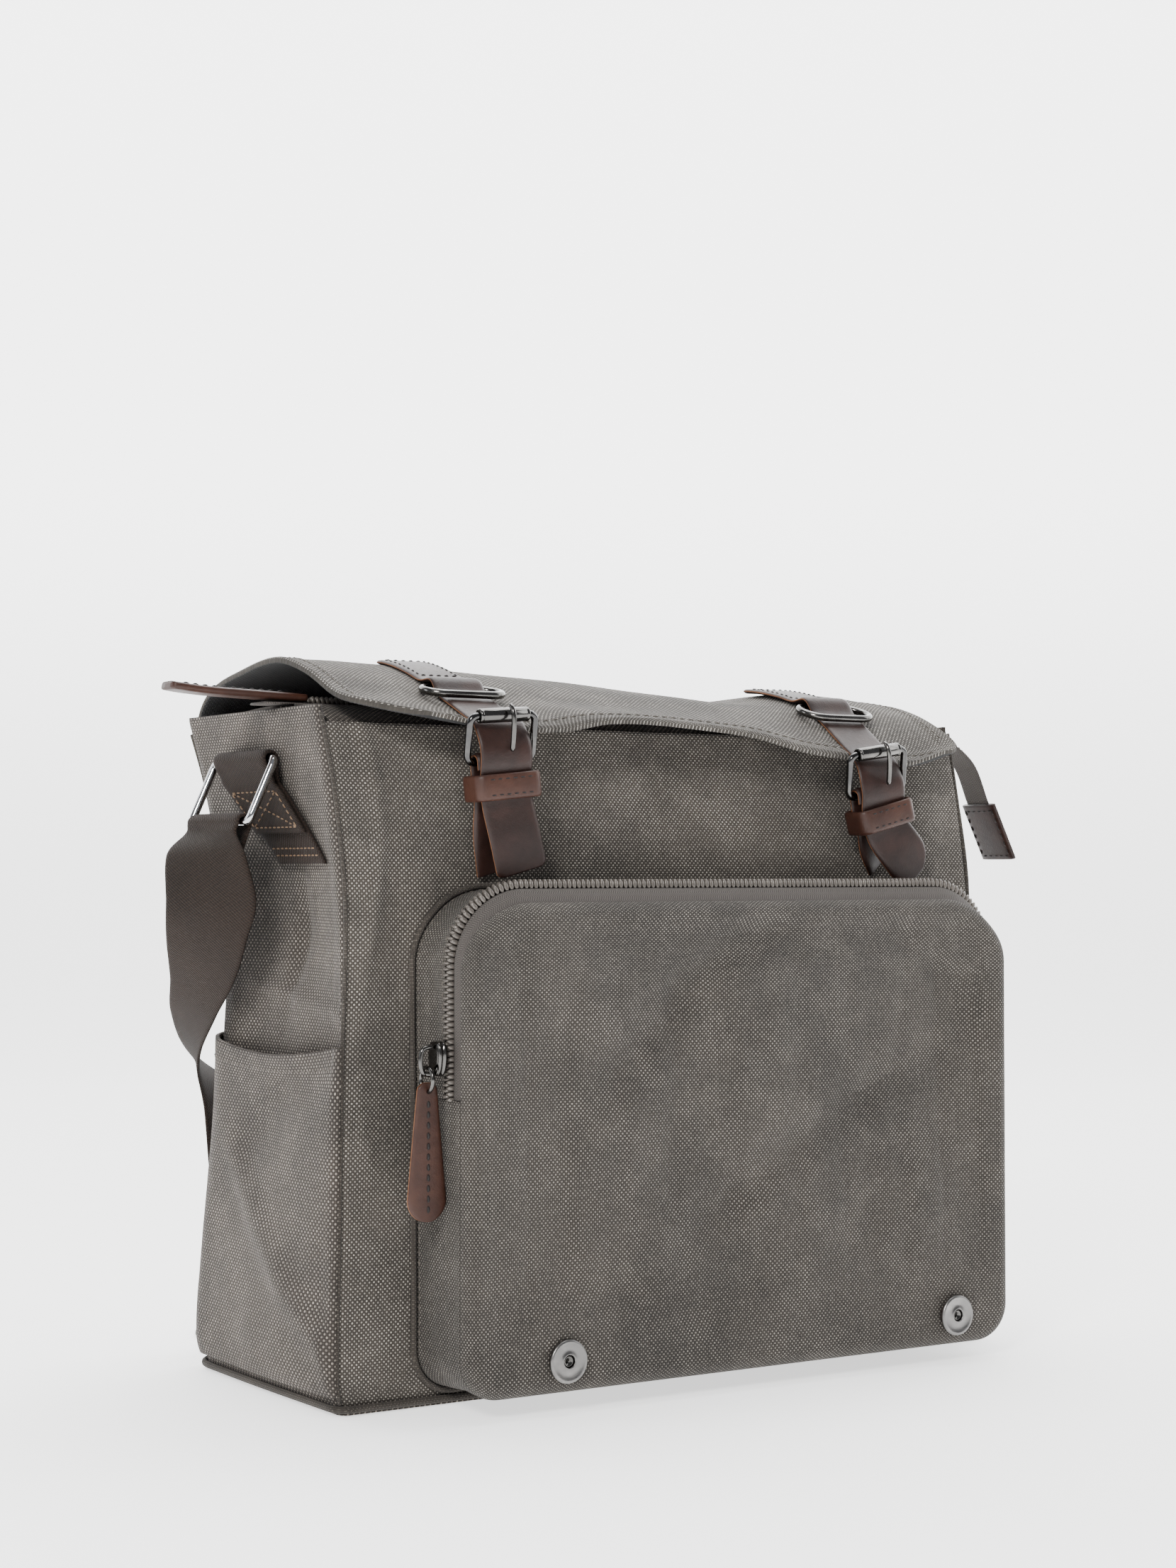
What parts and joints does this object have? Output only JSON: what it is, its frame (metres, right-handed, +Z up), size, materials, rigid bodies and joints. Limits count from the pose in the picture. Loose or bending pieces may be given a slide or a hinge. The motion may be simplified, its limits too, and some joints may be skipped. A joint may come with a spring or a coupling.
{
  "type": "shoulder bag",
  "caption": "Soft canvas messenger bag with a short buckled flap, a zipped front pocket, slip pockets at the ends and a webbing shoulder strap.",
  "frame": {"origin": "centre of the underside of the base", "axes": "+X to the right seen from the front, -Y out of the front face with the pocket, +Z up"},
  "size_m": [0.4594, 0.3974, 0.3158],
  "materials": {
    "canvas": "washed plain-weave cotton",
    "leather": "smooth, waxed, raw edges",
    "webbing": "heavy twill webbing",
    "zip_tape": "herringbone tape",
    "zip_coil": "dark plated teeth",
    "gunmetal": "polished gunmetal plating",
    "satin_nickel": "satin",
    "bright_ring": "bright"
  },
  "bodies": {
    "root": {"base_panel": "canvas", "base_piping": "canvas", "front_panel": "canvas", "back_panel": "canvas", "gusset_left": "canvas", "gusset_right": "canvas", "side_pocket_left": "canvas", "side_pocket_right": "canvas", "flap": "canvas", "closure_front": "canvas", "closure_back": "canvas", "main_zip_tape": "zip_tape", "main_zip_coil": "zip_coil", "main_zip_tab_left": "leather", "main_zip_tab_right": "leather", "pocket_gusset": "canvas", "pocket_band": "canvas", "pocket_zip_tape": "zip_tape", "pocket_zip_coil": "gunmetal", "pocket_piping": "canvas", "pocket_face": "canvas", "zip_slider": "gunmetal", "slider_bridge": "gunmetal", "pull_ring": "gunmetal", "zip_puller": "leather", "snap_backing_left": "leather", "snap_left": "satin_nickel", "snap_rivet_left": "satin_nickel", "snap_backing_right": "leather", "snap_right": "satin_nickel", "snap_rivet_right": "satin_nickel", "flap_strap_left": "leather", "body_strap_left": "leather", "buckle_frame_left": "gunmetal", "buckle_roller_left": "gunmetal", "buckle_prong_left": "gunmetal", "keeper_left": "leather", "flap_ring_left": "gunmetal", "flap_strap_right": "leather", "body_strap_right": "leather", "buckle_frame_right": "gunmetal", "buckle_roller_right": "gunmetal", "buckle_prong_right": "gunmetal", "keeper_right": "leather", "flap_ring_right": "gunmetal", "ring_anchor_left": "webbing", "side_ring_left": "bright_ring", "ring_anchor_right": "webbing", "side_ring_right": "bright_ring", "shoulder_strap": "webbing"}
  },
  "joints": []
}
